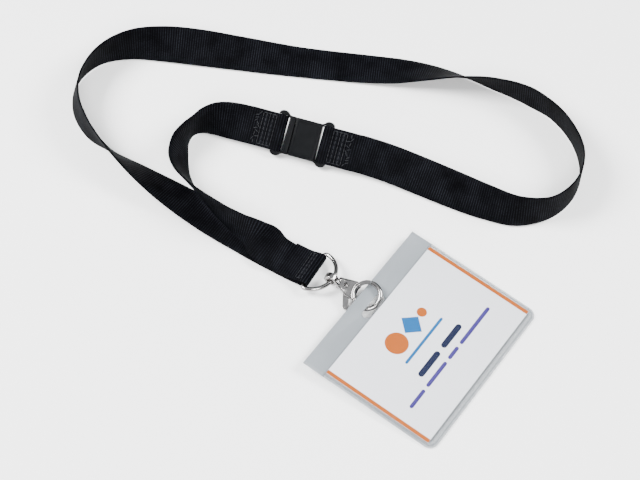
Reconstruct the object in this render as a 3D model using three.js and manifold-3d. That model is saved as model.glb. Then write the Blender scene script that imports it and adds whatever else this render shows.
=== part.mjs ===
// Badge lanyard: two lengths of 20 mm webbing joined by a breakaway buckle, a D-ring, a swivel
// trigger hook and a soft badge holder with its card.
// Units are millimetres. +Z is up and the lanyard lies on the plane z = 0.
// The origin is under the middle of the buckle, the metal parts and the badge holder.
import * as THREE from 'three';
import { mergeVertices } from 'three/addons/utils/BufferGeometryUtils.js';
import Module from 'manifold-3d';

const wasm = await Module();
wasm.setup();

// ---------- driving dimensions ----------
const GAP = 0.3;                      // between pieces that touch
const DEG = Math.PI / 180;

const WEB = { width: 19.8, thick: 0.9 };
const STITCH = { thick: 0.35, wide: 0.5, rows: 4, pitch: 2.4, margin: 1.5 };

const RING = { wire: 1.1, radius: 11.65, corner: 1.8, heading: -28.1, rise: 8.6 };
const RING_AT = [-43.1, 1.6, 3.5];    // middle of the D-ring's straight bar

const CLASP = {
  at: [-52, 79.3, 8.07],              // middle of the closed buckle
  heading: -15.3,
  tilt: 35,                           // its far edge is raised
  pitch: 24.75,                       // from one webbing bar to the other
  bar: 1.5,                           // radius of a webbing bar
  lug: 1.8,                           // radius of the rounded bar ends
  lugSpan: 23,
  bodyWidth: 20.4,
  plugThick: 4,
  socketThick: 4.6,
  slot: 3.4,                          // bar centre to body
  seam: 6.9,                          // plug bar centre to the parting line
};
const TONGUE = { long: 9, wide: 13, thick: 2 };

const HOOK = {
  at: [-33.2, -4.3, 5.24],            // where the D-ring's wire runs through the eye
  heading: -26,
  roll: 20,                           // the thumb lever's side is down
  hoopX: 19.4,                        // eye to the middle of the hoop
  hoopRadius: 6.75,
  wire: 1.25,
  cheek: 2.3,                         // half the body's thickness
  leverRoom: 1.2,                     // half the gap between the cheeks
};
const EYE = { x: -0.6, hole: 2.1, outer: 3.5, wide: 3.4, stem: 1, head: 1.5, stemEnd: 5.75 };
const GATE_SWEEP = { from: -20, to: 82, reach: 16 };   // the gate's room between the cheeks
const BOSS = { from: 3.3, to: 4.8, radius: 3.1, bore: 1.3 };
const PIVOT = { x: 8, y: 0.1, pin: 1, bore: 1.3, head: 1.7 };
const LEVER = { half: 0.8, tip: [12.3, -9.9], tipRadius: 1.4, room: 27 };   // room: degrees of swing

const HOLDER = {
  corner: [15.3, -90.3],              // the card's lower left corner, in plan
  heading: 56.36,
  slope: 3.67,                        // the flap rests on the hook
  side: 2.3,                          // film outside the card
  bottom: 4.2,
  flap: 12.2,
  film: 0.35,
  cornerRadius: 5,
  mouth: 0.7,                         // the front film stands this far above the card
};
const CARD = { width: 90, height: 60, thick: 0.35 };
const SLOT = { u: 44.5, v: 63, long: 16, high: 4.8 };

// ---------- helpers ----------
const rad = (degrees) => degrees * DEG;

/** The geometry with shared corners and positions only, as a manifold solid. */
function solid(geometry) {
  const g = geometry.clone();
  g.deleteAttribute('normal');
  g.deleteAttribute('uv');
  const merged = mergeVertices(g, 1e-4);
  return new wasm.Manifold(new wasm.Mesh({
    numProp: 3,
    vertProperties: new Float32Array(merged.attributes.position.array),
    triVerts: new Uint32Array(merged.index.array),
  }));
}

function geometryOf(body) {
  const m = body.getMesh();
  const g = new THREE.BufferGeometry();
  g.setAttribute('position', new THREE.BufferAttribute(new Float32Array(m.vertProperties), 3));
  g.setIndex(new THREE.BufferAttribute(new Uint32Array(m.triVerts), 1));
  g.computeVertexNormals();
  return g;
}

const join = (...parts) => parts.map(solid).reduce((a, b) => a.add(b));
const cut = (body, ...tools) => tools.map(solid).reduce((a, b) => a.subtract(b), body);

function box(x0, x1, y0, y1, z0, z1) {
  const g = new THREE.BoxGeometry(x1 - x0, y1 - y0, z1 - z0);
  return g.translate((x0 + x1) / 2, (y0 + y1) / 2, (z0 + z1) / 2);
}

/** A cylinder along 'x', 'y' or 'z' from a to b. */
function rod(axis, radius, a, b, sides = 20) {
  const g = new THREE.CylinderGeometry(radius, radius, b - a, sides);
  g.translate(0, (a + b) / 2, 0);
  if (axis === 'x') g.rotateZ(-Math.PI / 2);
  if (axis === 'z') g.rotateX(Math.PI / 2);
  return g;
}

function plate(shape, z0, z1, curveSegments = 6) {
  const g = new THREE.ExtrudeGeometry(shape, { depth: z1 - z0, bevelEnabled: false, curveSegments });
  return g.translate(0, 0, z0);
}

/** A round wire along a curve. */
function wire(curve, radius, steps, sides = 12) {
  const section = new THREE.Shape();
  for (let i = 0; i < sides; i += 1) {
    const a = (2 * Math.PI * i) / sides;
    section[i ? 'lineTo' : 'moveTo'](radius * Math.cos(a), radius * Math.sin(a));
  }
  section.closePath();
  return new THREE.ExtrudeGeometry(section, { steps, extrudePath: curve, bevelEnabled: false });
}

function polygon(points) {
  return new THREE.Shape(points.map(([x, y]) => new THREE.Vector2(x, y)));
}

/** A band of even thickness along a flat curve, as an outline. */
function band(points, thick, samples) {
  const curve = new THREE.CatmullRomCurve3(points.map(([x, y]) => new THREE.Vector3(x, y, 0)));
  const left = [];
  const right = [];
  for (let i = 0; i <= samples; i += 1) {
    const p = curve.getPointAt(i / samples);
    const t = curve.getTangentAt(i / samples);
    left.push([p.x - t.y * thick / 2, p.y + t.x * thick / 2]);
    right.unshift([p.x + t.y * thick / 2, p.y - t.x * thick / 2]);
  }
  return polygon([...left, ...right]);
}

/** A band's outline in the x-z plane, drawn out across the webbing's width. */
function turn(points, samples = 40) {
  const g = plate(band(points, WEB.thick, samples), -WEB.width / 2, WEB.width / 2);
  return g.rotateX(Math.PI / 2);
}

function material(color, roughness, metalness = 0) {
  return new THREE.MeshStandardMaterial({ color, roughness, metalness });
}

const webbingBlack = material(0x0e0f12, 0.9);
const threadBlack = material(0x17181b, 0.8);
const plasticBlack = material(0x1b1d20, 0.45);
const nickel = material(0xb9bcc0, 0.18, 1);
const springSteel = material(0x8f9499, 0.35, 1);
const clearFilm = new THREE.MeshStandardMaterial(
  { color: 0xd5dadd, roughness: 0.25, transparent: true, opacity: 0.45 },
);
const cardPaper = material(0xf2f3f5, 0.7);

const lanyard = new THREE.Group();

function add(parent, name, shape, mat) {
  const geometry = shape.isBufferGeometry ? shape : geometryOf(shape);
  const mesh = new THREE.Mesh(geometry, mat);
  mesh.name = name;
  parent.add(mesh);
  return mesh;
}

/** A group at a place, turned about Z, then pitched or rolled in its own frame. */
function place(at, heading, pitch = 0, roll = 0) {
  const group = new THREE.Group();
  group.position.set(...at);
  group.rotation.set(rad(roll), rad(-pitch), rad(heading), 'ZYX');
  lanyard.add(group);
  group.updateMatrixWorld(true);
  return group;
}

// ---------- webbing ----------
// Each point: x, y, the height of the lower edge, and the roll in degrees.
// Roll 0 lies flat, and above 0 the edge on the right of the way forward is raised.
const LONG_ROUTE = [
  [-24.5, 72.1, 2.1, -35], [-6.7, 66.7, 1.2, -36], [10.3, 59.7, 0.5, -39], [26.3, 52.2, 0.2, -46],
  [43.3, 44.2, 0.2, -59], [60.3, 38.7, 0.2, -74], [77.3, 41.7, 0.2, -88], [89.8, 54.2, 0.2, -90],
  [94.3, 71.2, 0.2, -88], [90.3, 88.2, 0.2, -83], [80.3, 103.2, 0.2, -81], [65.3, 113.7, 0.2, -81],
  [48.3, 120.2, 0.2, -70], [31.3, 125.2, 0.2, -49], [14.3, 129.2, 0.2, -26], [-2.7, 131.7, 0.2, -9],
  [-20.7, 133.2, 0.2, -2], [-56.7, 135.7, 0.2, 3], [-92.7, 138.2, 0.2, 19], [-110.7, 138.7, 0.2, 34],
  [-128.7, 138.2, 0.2, 53], [-146.7, 135.7, 0.2, 75], [-162.7, 127.7, 0.2, 96], [-172.2, 113.2, 0.2, 105],
  [-172.7, 96.2, 0.2, 102], [-165.2, 79.7, 0.2, 92], [-152.7, 67.2, 0.2, 68], [-137.7, 56.2, 0.2, 43],
  [-122.7, 46.7, 0.2, 24], [-107.7, 38, 0.2, 10], [-91.7, 28.7, 0.2, 2], [-76.7, 20.2, 0.2, 0],
  [-67.7, 14.8, 0.3, 0], [-59, 10.1, 0.3, 0],
];
const SHORT_ROUTE = [
  [-79.4, 86.7, 2.1, 35], [-88.7, 88.4, 1.2, 46], [-97.7, 88.6, 0.4, 66], [-106.2, 86, 0.2, 88],
  [-112.2, 79.2, 0.2, 88], [-115.2, 70.2, 0.2, 68], [-115.2, 60.2, 0.2, 60], [-112.2, 51.2, 1.5, 63],
  [-107.2, 43.2, 3.2, 69], [-100.7, 36.2, 3.4, 76], [-94.2, 30.4, 3, 84], [-87.2, 25, 2.4, 91],
  [-79.7, 20.2, 1.9, 99], [-72.7, 16, 1.6, 118], [-66.2, 13, 1.5, 152], [-61.3, 11, 1.5, 176],
  [-58.2, 9.6, 1.55, 180], [-54.7, 7.8, 1.6, 180], [-50.9, 5.7, 1.65, 180],
];

/** The curve through a route's points, with the frames that lay the webbing at each point's roll. */
function route(points) {
  const half = WEB.width / 2;
  const height = (lift, roll) => (
    lift + half * Math.abs(Math.sin(roll)) + (WEB.thick / 2) * Math.abs(Math.cos(roll))
  );
  const curve = new THREE.CatmullRomCurve3(
    points.map(([x, y, lift, roll]) => new THREE.Vector3(x, y, height(lift, rad(roll)))),
  );
  const rolls = new THREE.CatmullRomCurve3(points.map((p) => new THREE.Vector3(rad(p[3]), 0, 0)));
  const up = new THREE.Vector3(0, 0, 1);
  curve.computeFrenetFrames = (steps) => {
    const tangents = [];
    const normals = [];
    const binormals = [];
    for (let i = 0; i <= steps; i += 1) {
      const t = curve.getTangentAt(i / steps);
      const roll = rolls.getPoint(curve.getUtoTmapping(i / steps)).x;
      const right = new THREE.Vector3().crossVectors(t, up).normalize();
      const across = right.multiplyScalar(Math.cos(roll)).addScaledVector(up, Math.sin(roll));
      across.addScaledVector(t, -across.dot(t)).normalize();
      tangents.push(t);
      normals.push(across);
      binormals.push(new THREE.Vector3().crossVectors(t, across));
    }
    return { tangents, normals, binormals };
  };
  return curve;
}

function ribbon(points, steps) {
  const { width, thick } = WEB;
  const section = polygon([
    [-width / 2, -thick / 2], [width / 2, -thick / 2], [width / 2, thick / 2], [-width / 2, thick / 2],
  ]);
  return new THREE.ExtrudeGeometry(section, { steps, extrudePath: route(points), bevelEnabled: false });
}

/** A geometry made in a group's frame, moved into the lanyard's. */
const inWorld = (geometry, group) => geometry.applyMatrix4(group.matrixWorld);

/** Cross rows of thread on a flat stretch: along x, on a surface of height z. */
function stitchRows(x0, z) {
  const half = WEB.width / 2 - STITCH.margin;
  const rows = [];
  for (let i = 0; i < STITCH.rows; i += 1) {
    const x = x0 + i * STITCH.pitch;
    rows.push(box(x, x + STITCH.wide, -half, half, z, z + STITCH.thick));
  }
  const x1 = x0 + (STITCH.rows - 1) * STITCH.pitch + STITCH.wide;
  for (const y of [-half, half - STITCH.wide]) {
    rows.push(box(x0, x1, y, y + STITCH.wide, z, z + STITCH.thick));
  }
  return join(...rows);
}

// The end of the long webbing turns up round the ring's bar and back over both lengths.
const ringLow = place([RING_AT[0], RING_AT[1], 0], RING.heading);
const overBar = RING.wire + GAP + WEB.thick / 2;
const ringTurn = turn([
  [-20, 0.75], [-14, 0.75], [-9, 0.8], [-5, 1.15], [-2, 1.6], [0, RING_AT[2] - overBar],
  [overBar * 0.71, RING_AT[2] - overBar * 0.71], [overBar, RING_AT[2]],
  [overBar * 0.71, RING_AT[2] + overBar * 0.71], [0, RING_AT[2] + overBar],
  [-2.2, 4.95], [-4.5, 4], [-7, 3.35], [-10, 3.2], [-15, 3.2],
]);

// Each end at the buckle passes over its bar and turns back underneath.
const overClasp = CLASP.bar + GAP + WEB.thick / 2;
const claspTurn = [
  [17, 0.62], [12, 0.66], [8, 0.95], [4, 1.7], [1.5, 2.18], [0, overClasp],
  [-overClasp * 0.71, overClasp * 0.71], [-overClasp, 0], [-overClasp * 0.71, -overClasp * 0.71],
  [0, -overClasp], [1.5, -2.18], [4, -1.7], [8, -0.95], [12, -0.64], [14, -0.62],
];
const clasp = place(CLASP.at, CLASP.heading, 0, CLASP.tilt);
const half = CLASP.pitch / 2;
const socketTurn = turn(claspTurn).translate(half, 0, 0);
const plugTurn = turn(claspTurn.map(([x, z]) => [-x, z]).reverse()).translate(-half, 0, 0);

add(lanyard, 'strap_long', join(
  ribbon(LONG_ROUTE, 130), inWorld(ringTurn, ringLow), inWorld(socketTurn, clasp),
), webbingBlack);
add(lanyard, 'strap_short', join(ribbon(SHORT_ROUTE, 44), inWorld(plugTurn, clasp)), webbingBlack);

// ---------- stitching ----------
const stitchLift = WEB.thick / 2 + GAP;
const ringStitch = add(ringLow, 'stitching_ring', stitchRows(-14.4, 0), threadBlack);
ringStitch.position.set(0, 0, 3.35 + stitchLift);
const socketStitch = add(clasp, 'stitching_socket', stitchRows(0, 0), threadBlack);
socketStitch.position.set(half + 8, 0, 0.95 + stitchLift);
const plugStitch = add(clasp, 'stitching_plug', stitchRows(0, 0), threadBlack);
plugStitch.rotation.z = Math.PI;
plugStitch.position.set(-half - 8, 0, 0.95 + stitchLift);

// ---------- breakaway buckle ----------
/** A webbing bar with its rounded ends and the two rails that carry it, with the bar at x = 0. */
function barFrame() {
  const end = CLASP.lugSpan / 2;
  const inner = CLASP.bodyWidth / 2 + 0.1;
  const lugs = [-1, 1].flatMap((side) => [
    rod('z', CLASP.lug, -CLASP.lug, CLASP.lug).translate(0, side * (end - CLASP.lug), 0),
    box(
      0, CLASP.slot + 0.6, ...[side * (inner - 0.8), side * (end - 0.3)].sort((a, b) => a - b), -1.6, 1.6,
    ),
  ]);
  const clear = box(-2.5, CLASP.slot, -inner, inner, -3, 3);
  return cut(join(...lugs), clear).add(solid(rod('y', CLASP.bar, -inner - 0.4, inner + 0.4)));
}

/** A moulded body with softened edges, between two places along x. */
function moulding(x0, x1, thick) {
  const w = CLASP.bodyWidth / 2;
  const t = thick / 2;
  const edge = 0.7;
  const section = polygon([
    [-w, -t + edge], [-w + edge, -t], [w - edge, -t], [w, -t + edge],
    [w, t - edge], [w - edge, t], [-w + edge, t], [-w, t - edge],
  ]);
  const g = plate(section, 0, x1 - x0);
  return g.rotateX(Math.PI / 2).rotateZ(Math.PI / 2).translate(x0, 0, 0);
}

const plugEnd = -half + CLASP.seam;
const socketStart = plugEnd + GAP;
const barPlug = barFrame().translate([-half, 0, 0]);
const barSocket = barFrame().rotate([0, 0, 180]).translate([half, 0, 0]);
const tongue = box(
  plugEnd - 1, plugEnd + TONGUE.long, -TONGUE.wide / 2, TONGUE.wide / 2, -TONGUE.thick / 2, TONGUE.thick / 2,
);
// The tongue is split, so that its two prongs can spring towards each other.
const split = box(plugEnd + 1, plugEnd + TONGUE.long + 1, -1.2, 1.2, -TONGUE.thick, TONGUE.thick);
const plugBody = moulding(-half + CLASP.slot, plugEnd, CLASP.plugThick);
add(clasp, 'buckle_plug', barPlug.add(cut(join(plugBody, tongue), split)), plasticBlack);

const socketBody = moulding(socketStart, half - CLASP.slot, CLASP.socketThick);
const mouth = box(
  socketStart - 1, socketStart + TONGUE.long + 0.8,
  -TONGUE.wide / 2 - GAP, TONGUE.wide / 2 + GAP, -TONGUE.thick / 2 - GAP, TONGUE.thick / 2 + GAP,
);
add(clasp, 'buckle_socket', barSocket.add(cut(join(socketBody), mouth)), plasticBlack);

// ---------- D-ring ----------
const ring = place(RING_AT, RING.heading, RING.rise);
class Dee extends THREE.Curve {
  // Out of one end of the bar, round a tight corner, along the bow and back into the bar.
  getPoint(t, target = new THREE.Vector3()) {
    const { radius, corner } = RING;
    const bow = Math.acos(corner / (radius - corner));      // the bow's half angle
    const rest = Math.PI - bow;                              // the corner's angle
    const straight = 1;
    const lengths = [straight, corner * rest, 2 * radius * bow, corner * rest, straight];
    const centre = (radius - corner) * Math.sin(bow);
    let s = t * lengths.reduce((a, b) => a + b);
    if (s < lengths[0]) return target.set(0, -centre + straight - s, 0);
    s -= lengths[0];
    if (s < lengths[1]) {
      const a = -Math.PI + s / corner;
      return target.set(corner + corner * Math.cos(a), -centre + corner * Math.sin(a), 0);
    }
    s -= lengths[1];
    if (s < lengths[2]) {
      const a = -bow + s / radius;
      return target.set(radius * Math.cos(a), radius * Math.sin(a), 0);
    }
    s -= lengths[2];
    if (s < lengths[3]) {
      const a = bow + s / corner;
      return target.set(corner + corner * Math.cos(a), centre + corner * Math.sin(a), 0);
    }
    return target.set(0, centre - (s - lengths[3]), 0);
  }
}
const bar = rod('y', RING.wire, -9, 9, 12);
add(ring, 'd_ring', join(wire(new Dee(), RING.wire, 44), bar), nickel);

// ---------- swivel eye ----------
const hook = place(HOOK.at, HOOK.heading, 0, HOOK.roll);
const eyePlate = rod('y', EYE.outer, -EYE.wide / 2, EYE.wide / 2, 28).translate(EYE.x, 0, 0);
const eyeHole = rod('y', EYE.hole, -EYE.wide, EYE.wide, 24).translate(EYE.x, 0, 0);
const stem = rod('x', EYE.stem, EYE.x + EYE.outer - 0.4, EYE.stemEnd - 0.4, 16);
const stemHead = rod('x', EYE.head, BOSS.to + GAP, EYE.stemEnd, 16);
// At rest the eye stays level while the hook's body is rolled.
const eye = place(HOOK.at, HOOK.heading);
const eyeRing = cut(join(eyePlate), eyeHole);
add(eye, 'swivel_eye', eyeRing.add(join(stem, stemHead)), nickel);

// ---------- trigger hook ----------
const { cheek, leverRoom, hoopX, hoopRadius } = HOOK;
const onHoop = (angle, radius) => [
  hoopX + radius * Math.cos(rad(angle)), radius * Math.sin(rad(angle)),
];
const outer = hoopRadius + HOOK.wire;
const inner = hoopRadius - HOOK.wire;
const NOSE = 98;                      // degrees round the hoop from its front
const GATE_END = 148;
const TAB_ANGLE = Math.atan2(LEVER.tip[1] - PIVOT.y, LEVER.tip[0] - PIVOT.x) / DEG;
const TAIL = 222;                     // where the hoop's wire meets the body below

function arc(from, to, radius, steps) {
  return Array.from({ length: steps + 1 }, (_, i) => onHoop(from + ((to - from) * i) / steps, radius));
}

const bodyOutline = polygon([
  [BOSS.from + 0.6, -2.6], [BOSS.from + 0.6, 2.6], [7, 3.2],
  onHoop(GATE_END, outer), ...arc(GATE_END, TAIL, inner, 10), onHoop(TAIL, outer),
  [9.6, -5], [6.6, -3.2],
]);
class HoopArc extends THREE.Curve {
  getPoint(t, target = new THREE.Vector3()) {
    const a = rad(NOSE + (TAIL - 14 - 360 - NOSE) * t);
    return target.set(hoopX + hoopRadius * Math.cos(a), hoopRadius * Math.sin(a), 0);
  }
}
const pivotHole = rod('z', PIVOT.bore, -4, 4).translate(PIVOT.x, PIVOT.y, 0);
const bossHole = rod('x', BOSS.bore, 0, BOSS.to + 1, 16);
const headRoom = box(BOSS.to, EYE.stemEnd + GAP, -1.9, 1.9, -4, 1.85);

/** A sector from the pivot, between two directions, that the lever sweeps. */
function sweep(from, to, reach) {
  const at = (angle, r) => [PIVOT.x + r * Math.cos(rad(angle)), PIVOT.y + r * Math.sin(rad(angle))];
  const rim = Array.from({ length: 9 }, (_, i) => at(from + ((to - from) * i) / 8, reach));
  const points = [at(from, 0), ...rim];
  return plate(polygon(points), -leverRoom, leverRoom);
}
/** The paths of the straight tab, from rest to the end of its room. */
function tabPaths() {
  return [0, 1 / 3, 2 / 3, 1].map((part) => part * LEVER.room).map((turned) => {
    const path = box(0, 16, -1.75, 1.75, -leverRoom, leverRoom);
    return path.rotateZ(rad(TAB_ANGLE - turned)).translate(PIVOT.x, PIVOT.y, 0);
  });
}
const hub = rod('z', 2.9, -leverRoom, leverRoom).translate(PIVOT.x, PIVOT.y, 0);
const hookBody = cut(
  join(
    plate(bodyOutline, -cheek, cheek, 8), rod('x', BOSS.radius, BOSS.from, BOSS.to),
    wire(new HoopArc(), HOOK.wire, 30),
  ),
  hub, sweep(GATE_SWEEP.from, GATE_SWEEP.to, GATE_SWEEP.reach), ...tabPaths(), pivotHole, bossHole, headRoom,
);
add(hook, 'hook_body', hookBody, nickel);

const pin = join(
  rod('z', PIVOT.pin, -cheek - GAP - 0.4, cheek + GAP + 0.4),
  rod('z', PIVOT.head, cheek + GAP, cheek + GAP + 0.6),
  rod('z', PIVOT.head, -cheek - GAP - 0.6, -cheek - GAP),
);
const rivet = add(hook, 'trigger_rivet', pin, nickel);
rivet.position.set(PIVOT.x, PIVOT.y, 0);

// ---------- trigger ----------
const gateOutline = polygon([
  [PIVOT.x - 0.4, PIVOT.y + 2], [10.2, 3.5], ...arc(GATE_END, NOSE + 4, outer - 0.1, 8),
  ...arc(NOSE + 4, GATE_END, inner + 0.3, 8), [11.6, 1.3], [PIVOT.x + 1.6, PIVOT.y - 0.6],
]);
const [tipX, tipY] = LEVER.tip;
const tabOutline = polygon([
  [PIVOT.x - 1.6, PIVOT.y - 0.6], [PIVOT.x + 1.6, PIVOT.y - 0.6],
  [tipX + 1.2, tipY + 0.6], [tipX - 1.25, tipY - 0.6],
]);
const trigger = cut(
  join(
    plate(gateOutline, -LEVER.half, LEVER.half), plate(tabOutline, -LEVER.half, LEVER.half),
    rod('z', 1.9, -LEVER.half, LEVER.half).translate(PIVOT.x, PIVOT.y, 0),
    rod('z', LEVER.tipRadius, -LEVER.half, LEVER.half).translate(tipX, tipY, 0),
  ),
  pivotHole,
);
add(hook, 'trigger_lever', trigger, nickel);

// A bent leaf between the body's web and the underside of the gate.
const leaf = band([[13, -1.15], [12, -0.75], [11.35, -0.1], [12, 0.75], [13, 1.55]], 0.25, 16);
add(hook, 'trigger_spring', join(plate(leaf, -0.7, 0.7)), springSteel);

// ---------- badge holder and card ----------
const badgeLift = HOLDER.bottom * Math.sin(rad(HOLDER.slope));
const badge = place([...HOLDER.corner, badgeLift], HOLDER.heading, 0, HOLDER.slope);

function holderOutline(top) {
  const left = -HOLDER.side;
  const right = CARD.width + HOLDER.side;
  const r = HOLDER.cornerRadius;
  const shape = new THREE.Shape();
  shape.moveTo(left, top);
  shape.lineTo(left, -HOLDER.bottom + r);
  shape.absarc(left + r, -HOLDER.bottom + r, r, Math.PI, 1.5 * Math.PI);
  shape.lineTo(right - r, -HOLDER.bottom);
  shape.absarc(right - r, -HOLDER.bottom + r, r, 1.5 * Math.PI, 2 * Math.PI);
  shape.lineTo(right, top);
  shape.closePath();
  return shape;
}

const backSheet = holderOutline(CARD.height + HOLDER.flap);
const slot = new THREE.Path();
const slotEnd = (SLOT.long - SLOT.high) / 2;
slot.absarc(SLOT.u + slotEnd, SLOT.v, SLOT.high / 2, -Math.PI / 2, Math.PI / 2);
slot.absarc(SLOT.u - slotEnd, SLOT.v, SLOT.high / 2, Math.PI / 2, 1.5 * Math.PI);
slot.closePath();
backSheet.holes.push(slot);
add(badge, 'holder_back', join(plate(backSheet, 0, HOLDER.film)), clearFilm);

const cardZ = HOLDER.film + GAP;
const frontZ = cardZ + CARD.thick + GAP;
const frontTop = CARD.height + HOLDER.mouth;
const front = join(plate(holderOutline(frontTop), HOLDER.film + GAP, frontZ + HOLDER.film));
const pocket = box(-GAP, CARD.width + GAP, -GAP, frontTop + 1, 0, frontZ);
add(badge, 'holder_front', cut(front, pocket), clearFilm);

add(badge, 'insert_card', join(box(0, CARD.width, 0, CARD.height, cardZ, cardZ + CARD.thick)), cardPaper);

export default lanyard;
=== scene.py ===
"""Looks for a badge lanyard: black webbing, a breakaway buckle, a D-ring, a trigger hook and a
soft badge holder with its card. Rigid pieces are shaped in millimetres in their own frames,
then placed in the row's frame, in metres."""

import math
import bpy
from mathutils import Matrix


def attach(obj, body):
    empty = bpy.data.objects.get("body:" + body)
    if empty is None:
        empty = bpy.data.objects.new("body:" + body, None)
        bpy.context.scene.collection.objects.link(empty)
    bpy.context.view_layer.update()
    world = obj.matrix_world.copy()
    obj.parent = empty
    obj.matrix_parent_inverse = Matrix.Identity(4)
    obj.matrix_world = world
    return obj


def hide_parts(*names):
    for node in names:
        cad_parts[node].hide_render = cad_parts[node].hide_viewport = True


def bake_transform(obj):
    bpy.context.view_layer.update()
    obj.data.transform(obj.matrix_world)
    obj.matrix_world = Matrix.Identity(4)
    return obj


bl_info = {
    "name": "Badge lanyard",
    "version": (1, 0, 0),
    "blender": (4, 5, 0),
    "location": "3D View > Sidebar > Lanyard",
    "description": "Builds the detailed pieces of a badge lanyard round its fixed frame",
    "category": "Object",
}

import bmesh
import bpy
from mathutils import Matrix, Vector

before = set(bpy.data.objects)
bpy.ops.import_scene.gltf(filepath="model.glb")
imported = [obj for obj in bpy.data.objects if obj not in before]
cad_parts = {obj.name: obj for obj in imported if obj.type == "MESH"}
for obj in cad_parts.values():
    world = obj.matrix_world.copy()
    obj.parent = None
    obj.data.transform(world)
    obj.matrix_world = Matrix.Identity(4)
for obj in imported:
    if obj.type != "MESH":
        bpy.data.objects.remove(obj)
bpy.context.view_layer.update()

MM = 0.001
WAVE = math.pi / 10          # the distance between a wave pattern's crests at a scale of 1

# ---------- where the pieces lie ----------
CLASP_AT, CLASP_HEADING, CLASP_TILT = (-52, 79.3, 8.07), -15.3, 35
RING_AT, RING_HEADING, RING_RISE = (-43.1, 1.6, 3.5), -28.1, 8.6
HOOK_AT, HOOK_HEADING, HOOK_ROLL = (-33.2, -4.3, 5.24), -26, 20
BADGE_CORNER, BADGE_HEADING, BADGE_SLOPE = (15.3, -90.3, 0.269), 56.36, 3.67

# ---------- sizes in millimetres ----------
CLASP_HALF = 12.375          # the buckle's middle to a webbing bar
BAR_RADIUS = 1.5
BODY_WIDTH = 20.4
RING_WIRE, RING_RADIUS, RING_CORNER = 1.1, 11.65, 1.8
HOOP_X, HOOP_RADIUS, HOOP_WIRE = 19.4, 6.75, 1.25
CHEEK, LEVER_ROOM = 2.3, 1.2
PIVOT_X, PIVOT_Y = 8, 0.1
GATE_FROM, GATE_TO, TAIL = 98, 148, 222   # degrees round the hoop
TIP_X, TIP_Y = 12.3, -9.9
LEVER_HALF = 0.75            # half the lever's thickness
PIN_HOLE = 1.3
FILM = 0.35
INK = 0.015                  # how far print stands above the card
INK_MARGIN = 0.05            # from the side bands to the card's edge
CARD_WIDTH, CARD_HEIGHT, CARD_BASE, CARD_THICK = 90, 60, 0.65, 0.35
HOLDER_SIDE, HOLDER_BOTTOM, HOLDER_FLAP, HOLDER_CORNER = 2.3, 4.2, 12.2, 5
SLOT_U, SLOT_V, SLOT_LONG, SLOT_HIGH = 44.5, 63, 16, 4.8

# Each point: x, y, the height of the lower edge, and the roll in degrees. Roll 0 lies flat.
LONG_ROUTE = [
    (-24.5, 72.1, 2.1, -35), (-6.7, 66.7, 1.2, -36), (10.3, 59.7, 0.5, -39),
    (26.3, 52.2, 0.2, -46), (43.3, 44.2, 0.2, -59), (60.3, 38.7, 0.2, -74),
    (77.3, 41.7, 0.2, -88), (89.8, 54.2, 0.2, -90), (94.3, 71.2, 0.2, -88),
    (90.3, 88.2, 0.2, -83), (80.3, 103.2, 0.2, -81), (65.3, 113.7, 0.2, -81),
    (48.3, 120.2, 0.2, -70), (31.3, 125.2, 0.2, -49), (14.3, 129.2, 0.2, -26),
    (-2.7, 131.7, 0.2, -9), (-20.7, 133.2, 0.2, -2), (-56.7, 135.7, 0.2, 3),
    (-92.7, 138.2, 0.2, 19), (-110.7, 138.7, 0.2, 34), (-128.7, 138.2, 0.2, 53),
    (-146.7, 135.7, 0.2, 75), (-162.7, 127.7, 0.2, 96), (-172.2, 113.2, 0.2, 105),
    (-172.7, 96.2, 0.2, 102), (-165.2, 79.7, 0.2, 92), (-152.7, 67.2, 0.2, 68),
    (-137.7, 56.2, 0.2, 43), (-122.7, 46.7, 0.2, 24), (-107.7, 38, 0.2, 10),
    (-91.7, 28.7, 0.2, 2), (-76.7, 20.2, 0.2, 0), (-67.7, 14.8, 0.3, 0), (-59, 10.1, 0.3, 0),
]
SHORT_ROUTE = [
    (-79.4, 86.7, 2.1, 35), (-88.7, 88.4, 1.2, 46), (-97.7, 88.6, 0.4, 66),
    (-106.2, 86, 0.2, 88), (-112.2, 79.2, 0.2, 88), (-115.2, 70.2, 0.2, 68),
    (-115.2, 60.2, 0.2, 60), (-112.2, 51.2, 1.5, 63), (-107.2, 43.2, 3.2, 69),
    (-100.7, 36.2, 3.4, 76), (-94.2, 30.4, 3, 84), (-87.2, 25, 2.4, 91), (-79.7, 20.2, 1.9, 99),
    (-72.7, 16, 1.6, 118), (-66.2, 13, 1.5, 152), (-61.3, 11, 1.5, 176),
    (-58.2, 9.6, 1.55, 180), (-54.7, 7.8, 1.6, 180), (-50.9, 5.7, 1.65, 180),
]
# The webbing's middle line where it turns back, along and above the bar that it goes round.
OVER_RING, OVER_CLASP = 1.85, 2.25
RING_TURN = [
    (-20, 0.75), (-14, 0.75), (-9, 0.8), (-5, 1.15), (-2, 1.6), (0, 1.65), (1.31, 2.19),
    (OVER_RING, 3.5), (1.31, 4.81), (0, 5.35), (-2.2, 4.95), (-4.5, 4), (-7, 3.35), (-10, 3.2),
    (-15, 3.2),
]
CLASP_TURN = [
    (17, 0.62), (12, 0.66), (8, 0.95), (4, 1.7), (1.5, 2.18), (0, OVER_CLASP), (-1.6, 1.6),
    (-OVER_CLASP, 0), (-1.6, -1.6), (0, -OVER_CLASP), (1.5, -2.18), (4, -1.7), (8, -0.95),
    (12, -0.64), (14, -0.62),
]


def turned(axis, degrees):
    """A turn about an axis through the origin."""
    return Matrix.Rotation(math.radians(degrees), 4, axis)


def placed(at, heading, roll=0, rise=0):
    """The frame of a piece modelled in millimetres: its place, heading, rise and roll."""
    return (
        Matrix.Translation(Vector(at) * MM)
        @ turned("Z", heading) @ turned("Y", -rise) @ turned("X", roll)
        @ Matrix.Scale(MM, 4)
    )


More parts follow.
